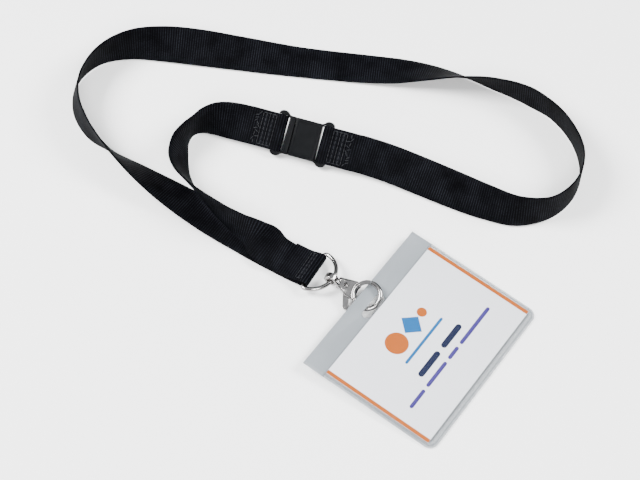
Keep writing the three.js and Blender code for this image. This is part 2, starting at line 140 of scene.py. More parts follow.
CLASP = placed(CLASP_AT, CLASP_HEADING, CLASP_TILT)
RING = placed(RING_AT, RING_HEADING, rise=RING_RISE)
RING_LOW = placed((RING_AT[0], RING_AT[1], 0), RING_HEADING)
EYE = placed(HOOK_AT, HOOK_HEADING)
HOOK = placed(HOOK_AT, HOOK_HEADING, HOOK_ROLL)
BADGE = placed(BADGE_CORNER, BADGE_HEADING, BADGE_SLOPE)


def linear(code):
    """A colour's sRGB hex value as linear red, green, blue and 1."""
    parts = [int(code[i:i + 2], 16) / 255 for i in (1, 3, 5)]
    return (*(p / 12.92 if p <= 0.04045 else ((p + 0.055) / 1.055) ** 2.4 for p in parts), 1)


# ---------- settings ----------
def size_setting(name, description, default):
    return bpy.props.FloatProperty(
        name=name, description=description, default=default, min=0, unit="LENGTH", precision=5
    )


def colour_setting(name, description, code):
    return bpy.props.FloatVectorProperty(
        name=name, description=description, default=linear(code), size=4, min=0, max=1,
        subtype="COLOR",
    )


class LanyardSizes(bpy.types.PropertyGroup):
    """Sizes of the lanyard's fabric and print"""

    web_width: size_setting("Webbing width", "Across the webbing", 0.0198)
    web_thick: size_setting("Webbing thickness", "Through the webbing", 0.0009)
    rib_pitch: size_setting("Rib pitch", "From one weft rib to the next", 0.00125)
    rib_height: size_setting("Rib height", "How far a rib stands out", 0.00007)
    stitch_long: size_setting("Stitch length", "Length of one stitch", 0.0022)
    stitch_wide: size_setting("Stitch width", "Thickness of the sewing thread", 0.00042)
    band_wide: size_setting("Card band width", "Width of the printed side bands", 0.002)


class LanyardColours(bpy.types.PropertyGroup):
    """Colours of the lanyard's materials"""

    # The inks and the blacks are deeper than they look, because the bright light pales them.
    webbing: colour_setting("Webbing", "Dyed polyester in the hollows", "#010102")
    # The ribs' colour is a painted highlight on the dyed black, standing in for the light that
    # the rib tops catch.
    webbing_rib_highlight: colour_setting("Webbing ribs", "Dyed polyester on the ribs", "#24262C")
    plastic: colour_setting("Buckle", "Moulded buckle", "#060708")
    nickel: colour_setting("Nickel", "Plated metal", "#A3A1A0")
    back_film: colour_setting("Back film", "Frosted back sheet", "#71777C")
    card: colour_setting("Card", "Coated card", "#E2E4EA")
    band: colour_setting("Bands", "Printed side bands", "#A04E00")
    sky: colour_setting("Sky blue", "Printed emblem and small bar", "#00548C")
    navy: colour_setting("Navy", "Printed name bars", "#020B2E")
    violet: colour_setting("Violet", "Printed title bars", "#34286C")


# ---------- materials ----------
def put(made, inputs):
    """Sets a node's input values, or links other nodes' outputs to them."""
    for socket, value in inputs.items():
        if isinstance(value, bpy.types.NodeSocket):
            made.id_data.links.new(value, made.inputs[socket])
        else:
            made.inputs[socket].default_value = value
    return made


def node(tree, kind, inputs, **settings):
    """Adds a node with its settings and links."""
    made = tree.nodes.new("ShaderNode" + kind)
    for name, value in settings.items():
        setattr(made, name, value)
    return put(made, inputs)


def new_material(name, **values):
    """A material by name, with its node tree and its shader, whose sockets are set."""
    surface = bpy.data.materials.new(name)
    surface.use_nodes = True
    tree = surface.node_tree
    shader = put(tree.nodes["Principled BSDF"], values)
    return surface, tree, shader


def between(tree, factor, low, high):
    """A colour between two, by a factor."""
    return node(
        tree, "Mix", {"Factor": factor, 6: low, 7: high}, data_type="RGBA"
    ).outputs[2]


def woven_polyester(colours, sizes):
    """Flat polyester webbing, woven with a heavy weft: matt black, with a painted highlight
    along the tops of its cross ribs, which fine warp threads break up."""
    surface, tree, shader = new_material(
        "woven_polyester_webbing",
        **{"Roughness": 0.7, "Specular IOR Level": 0.02},
    )
    flat = node(tree, "UVMap", {}, uv_map="webbing").outputs[0]
    ribs = node(
        tree, "TexWave",
        {"Vector": flat, "Scale": WAVE / sizes.rib_pitch, "Distortion": 0.5,
         "Detail": 2.0, "Detail Scale": 1.5},
        bands_direction="Y",
    ).outputs["Fac"]
    # Warp threads lie 0.55 mm apart, and fuzz of that size and finer breaks them up.
    warp = node(
        tree, "TexWave", {"Vector": flat, "Scale": WAVE / 0.00055, "Distortion": 0.4},
        bands_direction="X",
    ).outputs["Fac"]
    fuzz = node(tree, "TexNoise", {"Vector": flat, "Scale": 1800, "Detail": 4}).outputs["Fac"]
    patches = node(tree, "TexNoise", {"Vector": flat, "Scale": 90, "Detail": 3}).outputs["Fac"]
    crossing = node(tree, "Math", {0: ribs, 1: warp}, operation="MULTIPLY").outputs[0]
    broken = node(tree, "Math", {0: crossing, 1: fuzz}, operation="MULTIPLY").outputs[0]
    lit = node(tree, "Math", {0: broken, 1: patches}, operation="MULTIPLY").outputs[0]
    # Where rib crests stand out, broken up by warp, fuzz and patches, the base colour takes a
    # painted highlight.
    painted_rib_highlight = node(
        tree, "MapRange", {"Value": lit, "From Min": 0.07, "From Max": 0.3}
    ).outputs[0]
    bump = node(
        tree, "Bump", {"Strength": 0.8, "Distance": 0.00012, "Height": broken}
    ).outputs[0]
    put(shader, {
        "Base Color": between(tree, painted_rib_highlight, colours.webbing, colours.webbing_rib_highlight),
        "Normal": bump,
    })
    return surface


def sewing_thread():
    """Twisted polyester thread: a little smoother and brighter than the webbing, with a turn
    of the twist every 0.3 mm."""
    surface, tree, shader = new_material(
        "twisted_polyester_thread", **{"Roughness": 0.5, "Specular IOR Level": 0.2}
    )
    where = node(tree, "TexCoord", {}).outputs["Object"]
    twist = node(
        tree, "TexWave", {"Vector": where, "Scale": WAVE / 0.0003, "Distortion": 1},
        bands_direction="DIAGONAL",
    ).outputs["Fac"]
    # The twist's crests are painted lighter than its grooves: a painted highlight along the
    # strands.
    put(shader, {
        "Base Color": between(tree, twist, linear("#060608"), linear("#1E2025")),
        "Normal": node(
            tree, "Bump", {"Strength": 0.6, "Distance": 0.00008, "Height": twist}
        ).outputs[0],
    })
    return surface


def moulded_acetal(colours):
    """Acetal from a spark-eroded mould: an even satin black with a very fine grain."""
    surface, tree, shader = new_material(
        "moulded_acetal", **{"IOR": 1.48, "Specular IOR Level": 0.05}
    )
    where = node(tree, "TexCoord", {}).outputs["Object"]
    grain = node(tree, "TexNoise", {"Vector": where, "Scale": 5000, "Detail": 3}).outputs["Fac"]
    rubbed = node(tree, "TexNoise", {"Vector": where, "Scale": 260, "Detail": 4}).outputs["Fac"]
    put(shader, {
        "Base Color": between(tree, rubbed, colours.plastic, linear("#0C0D0F")),
        "Roughness": node(
            tree, "MapRange", {"Value": rubbed, "To Min": 0.34, "To Max": 0.5}
        ).outputs[0],
        "Normal": node(
            tree, "Bump", {"Strength": 0.35, "Distance": 0.00003, "Height": grain}
        ).outputs[0],
    })
    return surface


def nickel_plate(colours):
    """Bright nickel over a die casting: mirror-like, a little warm, with faint ripples from
    the casting and fine rub marks that blur some reflections."""
    surface, tree, shader = new_material("polished_nickel_plate", Metallic=1.0)
    where = node(tree, "TexCoord", {}).outputs["Object"]
    cast = node(tree, "TexNoise", {"Vector": where, "Scale": 420, "Detail": 2}).outputs["Fac"]
    rubs = node(
        tree, "TexNoise", {"Vector": where, "Scale": 1600, "Detail": 6, "Distortion": 0.6}
    ).outputs["Fac"]
    put(shader, {
        "Base Color": between(tree, cast, linear("#878585"), colours.nickel),
        "Roughness": node(
            tree, "MapRange", {"Value": rubs, "From Min": 0.3, "From Max": 0.75,
                               "To Min": 0.08, "To Max": 0.26}
        ).outputs[0],
        "Normal": node(
            tree, "Bump", {"Strength": 0.25, "Distance": 0.0001, "Height": cast}
        ).outputs[0],
    })
    return surface


def spring_steel():
    """Hard-rolled spring strip: a plain grey metal with lines along its length."""
    surface, tree, shader = new_material("rolled_spring_steel", Metallic=1.0)
    where = node(tree, "TexCoord", {}).outputs["Object"]
    lines = node(
        tree, "TexNoise", {
            "Vector": node(
                tree, "Mapping", {"Vector": where, "Scale": (300, 4000, 4000)}
            ).outputs[0],
            "Scale": 1.0,
        },
    ).outputs["Fac"]
    put(shader, {
        "Base Color": between(tree, lines, linear("#7D8287"), linear("#A9ADB2")),
        "Roughness": node(
            tree, "MapRange", {"Value": lines, "To Min": 0.25, "To Max": 0.45}
        ).outputs[0],
    })
    return surface


def soft_film(name, low, high, alpha, roughness, wave):
    """Calendered vinyl sheet: it blurs what is behind it a little, its surface ripples
    gently over tens of millimetres, and a fine frost scatters light."""
    surface, tree, shader = new_material(
        name, **{"Alpha": alpha, "IOR": 1.53, "Coat Weight": 0.3, "Coat Roughness": 0.08}
    )
    where = node(tree, "TexCoord", {}).outputs["Object"]
    ripple = node(tree, "TexNoise", {"Vector": where, "Scale": wave, "Detail": 2}).outputs["Fac"]
    frost = node(tree, "TexNoise", {"Vector": where, "Scale": 2600, "Detail": 5}).outputs["Fac"]
    both = node(tree, "Math", {0: frost, 1: 0.02, 2: ripple}, operation="MULTIPLY_ADD").outputs[0]
    put(shader, {
        "Base Color": between(tree, ripple, low, high),
        "Roughness": node(
            tree, "MapRange", {"Value": frost, "To Min": roughness, "To Max": roughness + 0.2}
        ).outputs[0],
        "Normal": node(
            tree, "Bump", {"Strength": 0.3, "Distance": 0.0006, "Height": both}
        ).outputs[0],
    })
    return surface


def coated_card(name, colour):
    """Coated, printed card: smooth and satin, with the paper's faint mottle."""
    surface, tree, shader = new_material(
        name, **{"Roughness": 0.42, "IOR": 1.5, "Specular IOR Level": 0.2}
    )
    where = node(tree, "TexCoord", {}).outputs["Object"]
    mottle = node(tree, "TexNoise", {"Vector": where, "Scale": 900, "Detail": 6}).outputs["Fac"]
    light = tuple(min(1, 1.03 * c) for c in colour[:3]) + (1,)
    dark = tuple(0.97 * c for c in colour[:3]) + (1,)
    put(shader, {
        "Base Color": between(tree, mottle, dark, light),
        "Normal": node(
            tree, "Bump", {"Strength": 0.1, "Distance": 0.00003, "Height": mottle}
        ).outputs[0],
    })
    return surface


# ---------- shaping tools ----------
def only(piece):
    """Leaves one piece selected and active."""
    bpy.ops.object.select_all(action="DESELECT")
    piece.select_set(True)
    bpy.context.view_layer.objects.active = piece


def start(name, primitive, **settings):
    """A primitive added alone, under its own name."""
    bpy.ops.object.select_all(action="DESELECT")
    primitive(**settings)
    piece = bpy.context.active_object
    piece.name = piece.data.name = name
    return piece


def edit(piece, *steps):
    """Runs steps in edit mode, each with the edit mesh."""
    only(piece)
    bpy.ops.object.mode_set(mode="EDIT")
    for step in steps:
        step(bmesh.from_edit_mesh(piece.data))
        bmesh.update_edit_mesh(piece.data)
    bpy.ops.object.mode_set(mode="OBJECT")
    return piece


def pick_faces(test):
    """A step that selects the faces whose middle and normal pass a test."""
    def step(mesh):
        bpy.ops.mesh.select_mode(type="FACE")
        for face in mesh.faces:
            face.select_set(test(face.calc_center_median(), face.normal))
        mesh.select_flush_mode()
    return step


def modified(piece, kind, **settings):
    """Adds a modifier with its settings and applies it."""
    only(piece)
    bpy.ops.object.modifier_add(type=kind)
    modifier = piece.modifiers[-1]
    for name, value in settings.items():
        setattr(modifier, name, value)
    bpy.ops.object.modifier_apply(modifier=modifier.name)
    return piece


def fused(piece, *others, operation="UNION"):
    """Joins other closed shapes to a piece, or cuts them out of it. They are used up."""
    for other in others:
        modified(piece, "BOOLEAN", operation=operation, object=other, solver="EXACT")
        bpy.data.objects.remove(other)
    return piece


def softened(piece, width, segments=2):
    """Rounds a piece's sharp edges."""
    return modified(
        piece, "BEVEL", width=width, segments=segments, limit_method="ANGLE",
        angle_limit=math.radians(35), use_clamp_overlap=True,
    )


def block(name, low, high, soft=0.0, segments=2):
    """A box between two corners, with its edges rounded."""
    centre = [(a + b) / 2 for a, b in zip(low, high)]
    piece = start(name, bpy.ops.mesh.primitive_cube_add, size=1, location=centre)
    piece.scale = [b - a for a, b in zip(low, high)]
    bpy.ops.object.transform_apply(location=True, rotation=True, scale=True)
    if soft:
        edit(
            piece,
            lambda mesh: bpy.ops.mesh.select_all(action="SELECT"),
            lambda mesh: bpy.ops.mesh.bevel(offset=soft, segments=segments, affect="EDGES"),
        )
    return piece


AXIS_TURNS = {"x": (0, math.pi / 2, 0), "y": (math.pi / 2, 0, 0), "z": (0, 0, 0)}


def rod(name, axis, radius, low, high, at=(0, 0, 0), soft=0.0, sides=32):
    """A round bar along an axis from low to high, with rounded ends if soft."""
    centre = list(at)
    centre["xyz".index(axis)] += (low + high) / 2
    piece = start(
        name, bpy.ops.mesh.primitive_cylinder_add, vertices=sides, radius=radius,
        depth=high - low, location=centre, rotation=AXIS_TURNS[axis],
    )
    bpy.ops.object.transform_apply(location=True, rotation=True, scale=True)
    if soft:
        edit(
            piece,
            lambda mesh: bpy.ops.mesh.select_all(action="DESELECT"),
            lambda mesh: [
                edge.select_set(True) for edge in mesh.edges
                if any(len(face.verts) > 4 for face in edge.link_faces)
            ],
            lambda mesh: bpy.ops.mesh.bevel(offset=soft, segments=3, affect="EDGES"),
        )
    return piece


def outlined(name, points, low, high):
    """A plate with a flat outline, drawn up from low to high."""
    def shape(mesh):
        mesh.verts.ensure_lookup_table()
        for vert, (x, y) in zip(mesh.verts, points):
            vert.co = (x, y, low)
    piece = start(
        name, bpy.ops.mesh.primitive_circle_add, vertices=len(points), fill_type="NGON"
    )
    return edit(
        piece,
        shape,
        lambda mesh: bpy.ops.mesh.select_all(action="SELECT"),
        lambda mesh: bpy.ops.mesh.extrude_region_move(
            TRANSFORM_OT_translate={"value": (0, 0, high - low)}
        ),
        lambda mesh: bpy.ops.mesh.select_all(action="SELECT"),
        lambda mesh: bpy.ops.mesh.normals_make_consistent(inside=False),
    )


def go(*way):
    """A move that draws a wire straight on."""
    return lambda mesh: bpy.ops.mesh.extrude_region_move(TRANSFORM_OT_translate={"value": way})


def spin(centre, axis, degrees, steps):
    """A move that draws a wire round a centre, by the right-hand rule about an axis."""
    return lambda mesh: bpy.ops.mesh.spin(
        steps=steps, angle=-math.radians(degrees), center=centre, axis=axis
    )


def closed_wire(name, radius, axis, moves):
    """A round wire drawn from the origin along an axis, through its moves and back."""
    piece = start(
        name, bpy.ops.mesh.primitive_circle_add, vertices=20, radius=radius,
        rotation=AXIS_TURNS[axis], fill_type="NOTHING",
    )
    bpy.ops.object.transform_apply(location=True, rotation=True, scale=True)
    return edit(
        piece,
        lambda mesh: bpy.ops.mesh.select_all(action="SELECT"),
        *moves,
        lambda mesh: bpy.ops.mesh.select_all(action="SELECT"),
        lambda mesh: bpy.ops.mesh.remove_doubles(threshold=0.01),
        lambda mesh: bpy.ops.mesh.normals_make_consistent(inside=False),
    )


def settle(piece, place, surface, body, slot, *nodes, angle=40):
    """Puts a finished piece in the row's frame, with its material and body; its slot is not used.
    """
    piece.data.transform(place @ piece.matrix_world)
    piece.matrix_world = Matrix.Identity(4)
    only(piece)
    bpy.ops.object.shade_smooth_by_angle(angle=math.radians(angle))
    piece.data.materials.clear()
    piece.data.materials.append(surface)
    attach(piece, body)
    if nodes:
        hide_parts(*nodes)
    return piece


def refinish(name, surface):
    """Gives a CAD node that keeps its shape a better material."""
    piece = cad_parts[name]
    piece.data.materials.clear()
    piece.data.materials.append(surface)


# ---------- webbing ----------
def through(points, per=16):
    """Points close together on the smooth curve through some points, and the last of them."""
    ends = [2 * points[0] - points[1], *points, 2 * points[-1] - points[-2]]
    found = []
    for before, a, b, after in zip(ends, ends[1:], ends[2:], ends[3:]):
        step = (b - a).length ** 0.5
        if step < 1e-4:
            step = 1
        step_in = (a - before).length ** 0.5
        step_out = (after - b).length ** 0.5
        step_in = step if step_in < 1e-4 else step_in
        step_out = step if step_out < 1e-4 else step_out
        into = ((a - before) / step_in - (b - before) / (step_in + step) + (b - a) / step) * step
        out = ((b - a) / step - (after - a) / (step + step_out) + (after - b) / step_out) * step
        for i in range(per):
            t = i / per
            found.append(
                (2 * t**3 - 3 * t**2 + 1) * a + (t**3 - 2 * t**2 + t) * into
                + (3 * t**2 - 2 * t**3) * b + (t**3 - t**2) * out
            )
    return [*found, points[-1]]


def lie_of_route(route, sizes):
    """The middle line and the way across of webbing that lies along a route."""
    half, thick = sizes.web_width / 2, sizes.web_thick
    points = []
    for x, y, lift, roll in route:
        angle = math.radians(roll)
        height = lift * MM + half * abs(math.sin(angle)) + thick / 2 * abs(math.cos(angle))
        points.append(Vector((x * MM, y * MM, height)))
    line = through(points)
    rolls = [v.x for v in through([Vector((math.radians(r[3]), 0, 0)) for r in route])]
    up = Vector((0, 0, 1))
    lie = []
    for i, (point, roll) in enumerate(zip(line, rolls)):
        way = (line[min(i + 1, len(line) - 1)] - line[max(i - 1, 0)]).normalized()
        right = way.cross(up).normalized()
        across = right * math.cos(roll) + up * math.sin(roll)
        lie.append((point, (across - across.dot(way) * way).normalized()))
    return lie


def lie_of_turn(turn, place, shift, side):
    """The middle line and the way across of webbing that turns back round a bar."""
    across = (place.to_3x3() @ Vector((0, side, 0))).normalized()
    return [
        (place @ Vector((p.x + shift, 0, p.z)), across)
        for p in through([Vector((x, 0, z)) for x, z in turn], per=10)
    ]


def spliced(first, second):
    """Two lies as one, without the stretch where they overlap."""
    end, way = first[-1][0], (first[-1][0] - first[-2][0]).normalized()
    return first + [row for row in second if (row[0] - end).dot(way) > 0.0004 or (
        row[0] - end).length > 0.006]


def evened(lie, step):
    """The same lie in even steps, with small kinks smoothed out: middle, across, distance."""
    for _ in range(3):
        lie = [lie[0]] + [
            ((a[0] + 2 * b[0] + c[0]) / 4, (a[1] + 2 * b[1] + c[1]).normalized())
            for a, b, c in zip(lie, lie[1:], lie[2:])
        ] + [lie[-1]]
    reach = [0.0]
    for a, b in zip(lie, lie[1:]):
        reach.append(reach[-1] + (b[0] - a[0]).length)
    count = round(reach[-1] / step)
    rows, at = [], 0
    for i in range(count + 1):
        goal = reach[-1] * i / count
        while at < len(lie) - 2 and reach[at + 1] < goal:
            at += 1
        t = (goal - reach[at]) / max(reach[at + 1] - reach[at], 1e-9)
        rows.append((
            lie[at][0].lerp(lie[at + 1][0], t),
            lie[at][1].lerp(lie[at + 1][1], t).normalized(),
            goal,
        ))
    return rows


def faces_way(rows, i):
    """The direction that the webbing's first face looks in, at one row."""
    way = rows[min(i + 1, len(rows) - 1)][0] - rows[max(i - 1, 0)][0]
    return rows[i][1].cross(way).normalized()


def woven(name, rows, sizes, surface):
    """Webbing with its weft ribs and full edges, and a map of across and along."""
    half, thick = sizes.web_width / 2, sizes.web_thick / 2
    # Each place round the section: across, through, and how much of a rib shows there.
    face = [
        (-0.95, 0.8), (-0.8, 1), (-0.5, 1), (-0.2, 1), (0.1, 1), (0.4, 1), (0.7, 1), (0.95, 0.8),
    ]
    section = [(u * half, thick, rib) for u, rib in face]
    section += [(half, thick * 0.45, 0.5), (half, -thick * 0.45, 0.5)]
    section += [(u * half, -thick, rib) for u, rib in reversed(face)]
    section += [(-half, -thick * 0.45, 0.5), (-half, thick * 0.45, 0.5)]
    per = len(section)
    verts, places = [], []
    for i, (middle, across, reach) in enumerate(rows):
        normal = faces_way(rows, i)
        swell = math.sin(math.pi * reach / sizes.rib_pitch) ** 2 - 0.5
        for u, w, rib in section:
            out = sizes.rib_height * swell * rib
            w += math.copysign(out, w)
            u += math.copysign(out, u) if abs(u) > half * 0.99 else 0
            verts.append(middle + across * u + normal * w)
            places.append((u, reach))
    faces = []
    for i in range(len(rows) - 1):
        for k in range(per):
            m = (k + 1) % per
            faces.append((i * per + k, i * per + m, (i + 1) * per + m, (i + 1) * per + k))
    last = (len(rows) - 1) * per
    faces += [tuple(range(per)), tuple(last + k for k in reversed(range(per)))]
    mesh = bpy.data.meshes.new(name)
    mesh.from_pydata(verts, [], faces)
    layer = mesh.uv_layers.new(name="webbing")
    for loop in mesh.loops:
        layer.data[loop.index].uv = places[loop.vertex_index]
    piece = bpy.data.objects.new(name, mesh)
    bpy.context.collection.objects.link(piece)
    edit(
        piece,
        lambda mesh: bpy.ops.mesh.select_all(action="SELECT"),
        lambda mesh: bpy.ops.mesh.normals_make_consistent(inside=False),
    )
    bpy.ops.object.shade_smooth_by_angle(angle=math.radians(50))
    piece.data.materials.append(surface)
    return piece


def lies(sizes):
    """How both lengths of webbing lie, from one sewn end to the other."""
    step = sizes.rib_pitch / 4
    to_socket = lie_of_turn(CLASP_TURN, CLASP, CLASP_HALF, -1)[::-1]
    long_lie = spliced(to_socket, lie_of_route(LONG_ROUTE, sizes))
    long_lie = spliced(long_lie, lie_of_turn(RING_TURN, RING_LOW, 0, -1))
    mirrored = [(-x, z) for x, z in CLASP_TURN]
    to_plug = lie_of_turn(mirrored, CLASP, -CLASP_HALF, 1)[::-1]
    short_lie = spliced(to_plug, lie_of_route(SHORT_ROUTE, sizes))
    return evened(long_lie, step), evened(short_lie, step)


class LANYARD_OT_webbing(bpy.types.Operator):
    """Lay both lengths of webbing"""

    bl_idname = "lanyard.webbing"
    bl_label = "Webbing"

    def execute(self, context):
        sizes, colours = context.scene.lanyard_sizes, context.scene.lanyard_colours
        surface = woven_polyester(colours, sizes)
        long_rows, short_rows = lies(sizes)
        long_web = woven("webbing_long", long_rows, sizes, surface)
        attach(long_web, "strap")
        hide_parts("strap_long")
        short_web = woven("webbing_short", short_rows, sizes, surface)
        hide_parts("strap_short")
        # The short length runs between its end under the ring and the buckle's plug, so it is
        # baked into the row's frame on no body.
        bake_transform(short_web)
        return {"FINISHED"}


# ---------- stitching ----------
ROW_PITCH = 0.0018           # between rows of stitches, in metres


def stitch(name, sizes):
    """One stitch lying along x: a short thread that dips at both ends."""
    piece = start(
        name, bpy.ops.mesh.primitive_uv_sphere_add, segments=8, ring_count=6, radius=0.5,
        rotation=(0, math.pi / 2, 0),
    )
    bpy.ops.object.transform_apply(location=True, rotation=True, scale=True)
    piece.scale = (sizes.stitch_long, sizes.stitch_wide, sizes.stitch_wide)
    bpy.ops.object.transform_apply(location=True, rotation=True, scale=True)
    return piece


def sewn(name, rows, first, last, side, sizes, loose=0):
    """A box of stitching with cross rows, between two distances along some webbing, and
    past it a band of loose thread ends at uneven slants."""
    half, lift = sizes.web_width / 2 - 0.0015, sizes.web_thick / 2 + sizes.stitch_wide * 0.2
    pitch = sizes.stitch_long * 1.12
    spots = []
    lines = round((last - first) / ROW_PITCH) + 1
    for line in range(lines):
        reach = first + (last - first) * line / (lines - 1)
        count = round(2 * half / pitch)
        spots += [(reach, -half + 2 * half * (i + 0.5) / count, 0) for i in range(count)]
    count = round((last - first) / pitch)
    for edge in (-half, half):
        spots += [(first + (last - first) * (i + 0.5) / count, edge, 90) for i in range(count)]
    for i in range(loose):
        past = 0.001 + 0.0011 * (1 + math.sin(7.3 * i * i))
        slant = 80 * math.sin(12.9 * i * i)
        spots.append((last + past, -half + 2 * half * (i + 0.5) / loose, slant))
    pattern = stitch(name, sizes)
    copies = []
    step = rows[1][2]
    for reach, u, slant in spots:
        i = min(round(reach / step), len(rows) - 2)
        middle, across, _ = rows[i]
        normal = faces_way(rows, i) * side
        ahead = across.cross(normal)
        x = across * math.cos(math.radians(slant)) + ahead * math.sin(math.radians(slant))
        place = Matrix((x, normal.cross(x), normal)).transposed().to_4x4()
        place.translation = middle + across * u + normal * lift
        copy = pattern.copy()
        copy.data = pattern.data.copy()
        copy.data.transform(place)
        bpy.context.collection.objects.link(copy)
        copies.append(copy)
    bpy.data.objects.remove(pattern)
    bpy.ops.object.select_all(action="DESELECT")
    for copy in copies:
        copy.select_set(True)
    bpy.context.view_layer.objects.active = copies[0]
    bpy.ops.object.join()
    piece = bpy.context.active_object
    piece.name = piece.data.name = name
    return piece


class LANYARD_OT_stitching(bpy.types.Operator):
    """Sew the turned-back ends"""

    bl_idname = "lanyard.stitching"
    bl_label = "Stitching"

    def execute(self, context):
        sizes = context.scene.lanyard_sizes
        surface = sewing_thread()
        long_rows, short_rows = lies(sizes)
        end = long_rows[-1][2]
        # How far each seam starts and ends from the cut end, and where it shows on top.
        seams = [
            ("seam_ring", long_rows, end - 0.0132, end - 0.0098, "strap", "stitching_ring"),
            ("seam_socket", long_rows, 0.0245, 0.0320, "strap", "stitching_socket"),
            ("seam_plug", short_rows, 0.0245, 0.0320, "plug", "stitching_plug"),
            ("seam_socket_under", long_rows, 0.0040, 0.0115, "strap", None),
            ("seam_plug_under", short_rows, 0.0040, 0.0115, "plug", None),
        ]
        made = {id(long_rows): [], id(short_rows): []}
        for name, rows, first, last, body, seam_node in seams:
            middle = round((first + last) / 2 / rows[1][2])
            normal = faces_way(rows, middle)
            wanted = -1 if name.endswith("under") else 1
            side = math.copysign(1, normal.z) * wanted
            loose = 12 if name in ("seam_socket", "seam_plug") else 0
            piece = sewn(name, rows, first, last, side, sizes, loose)
            nodes = [seam_node] if seam_node else []
            settle(piece, Matrix.Identity(4), surface, body, "thread", *nodes)
            made[id(rows)].append(piece)
        for name, rows, length in (
            ("webbing_long", long_rows, 0.69), ("webbing_short", short_rows, 0.185),
        ):
            made[id(rows)]
        return {"FINISHED"}


# ---------- buckle ----------
def bar_and_ears(name, direction):
    """A webbing bar at x = 0, with the round ears at its ends that reach back to the body."""
    ears = []
    for side in (-1, 1):
        outline = [(3.7, 8.9), (3.7, 10.2), (3.1, 10.5)]
        for i in range(15):
            a = math.radians(25 + 140 * i / 14)
            outline.append((2.8 * math.cos(a), 9.7 + 2.5 * math.sin(a)))
        outline += [(-2.6, 9.95), (2.8, 9.95), (2.9, 8.9)]
        ear = outlined("ear", [(direction * x, side * y) for x, y in outline], -1.9, 1.9)
        ears.append(softened(ear, 0.4, 3))
    return fused(rod(name, "y", BAR_RADIUS, -10.9, 10.9, sides=28), *ears)


def moved(piece, x):
    """A piece shifted along x."""
    piece.data.transform(Matrix.Translation((x, 0, 0)))
    return piece


class LANYARD_OT_buckle(bpy.types.Operator):
    """Mould the two halves of the breakaway buckle"""

    bl_idname = "lanyard.buckle"
    bl_label = "Breakaway buckle"

    def execute(self, context):
        surface = moulded_acetal(context.scene.lanyard_colours)
        half = BODY_WIDTH / 2
        plug = block("buckle_plug_half", (-8.98, -half, -2), (-5.48, half, 2), 0.45, 3)
        plug = fused(plug, moved(bar_and_ears("plug_bar", 1), -CLASP_HALF))
        tongue = block("tongue", (-6.5, -6.5, -1), (3.5, 6.5, 1), 0.25)
        fused(tongue, block("split", (-4.4, -1.2, -2), (4.5, 1.2, 2)), operation="DIFFERENCE")
        settle(fused(plug, tongue), CLASP, surface, "plug", "buckle_plastic", "buckle_plug")

        socket = block("buckle_socket_half", (-5.17, -half, -2.3), (8.97, half, 2.3), 0.55, 3)
        # A shallow plain panel on each face, inside a narrow border.
        for side in (-1, 1):
            edit(
                socket,
                pick_faces(lambda middle, normal, side=side: normal.z * side > 0.99),
                lambda mesh: bpy.ops.mesh.inset(thickness=0.9, depth=0),
                lambda mesh: bpy.ops.mesh.inset(thickness=0.2, depth=-0.18),
            )
        fused(socket, moved(bar_and_ears("socket_bar", -1), CLASP_HALF))
        mouth = block("mouth", (-6, -6.8, -1.3), (4.6, 6.8, 1.3))
        fused(socket, mouth, operation="DIFFERENCE")
        settle(socket, CLASP, surface, "strap", "buckle_plastic", "buckle_socket")
        return {"FINISHED"}


# ---------- ring and swivel ----------
class LANYARD_OT_ring(bpy.types.Operator):
    """Bend the D-ring and the swivel eye"""

    bl_idname = "lanyard.ring"
    bl_label = "D-ring and swivel eye"

    def execute(self, context):
        surface = nickel_plate(context.scene.lanyard_colours)
        bow = math.acos(RING_CORNER / (RING_RADIUS - RING_CORNER))
        reach = (RING_RADIUS - RING_CORNER) * math.sin(bow)
        corner = 180 - math.degrees(bow)
        ring = closed_wire(
            "d_ring_bent", RING_WIRE, "y",
            [
                go(0, reach, 0),
                spin((RING_CORNER, reach, 0), (0, 0, -1), corner, 10),
                spin((0, 0, 0), (0, 0, -1), 2 * math.degrees(bow), 56),
                spin((RING_CORNER, -reach, 0), (0, 0, -1), corner, 10),
                go(0, reach, 0),
            ],
        )
        settle(ring, RING, surface, "ring", "nickel", "d_ring")

        # The eye is a flat-sided loop; the stem under it turns in the hook's collar.
        eye = start(
            "swivel_eye_loop", bpy.ops.mesh.primitive_plane_add, size=1, location=(2.2, 0, 0)
        )
        eye.scale = (1.4, 3.4, 1)
        bpy.ops.object.transform_apply(location=True, rotation=True, scale=True)
        edit(
            eye,
            lambda mesh: bpy.ops.mesh.select_all(action="SELECT"),
            lambda mesh: bpy.ops.mesh.bevel(offset=0.5, segments=4, affect="VERTICES"),
            lambda mesh: bpy.ops.mesh.select_all(action="SELECT"),
            lambda mesh: bpy.ops.mesh.delete(type="ONLY_FACE"),
            lambda mesh: bpy.ops.mesh.select_all(action="SELECT"),
            spin((-0.6, 0, 0), (0, 1, 0), 360, 48),
            lambda mesh: bpy.ops.mesh.select_all(action="SELECT"),
            lambda mesh: bpy.ops.mesh.remove_doubles(threshold=0.01),
            lambda mesh: bpy.ops.mesh.normals_make_consistent(inside=False),
        )
        fused(
            eye,
            rod("stem", "x", 1.0, 2.4, 5.4),
            rod("shoulder", "x", 1.7, 2.3, 3.0, soft=0.2),
            rod("stem_head", "x", 1.5, 5.1, 5.75, soft=0.2),
        )
        settle(eye, EYE, surface, "swivel", "nickel", "swivel_eye")
        return {"FINISHED"}


# ---------- trigger hook ----------
def round_hoop(angle, radius):
    """A point round the hoop's middle."""
    a = math.radians(angle)
    return HOOP_X + radius * math.cos(a), radius * math.sin(a)


def hoop_arc(first, last, radius, steps):
    """Points along an arc round the hoop's middle."""
    return [round_hoop(first + (last - first) * i / steps, radius) for i in range(steps + 1)]


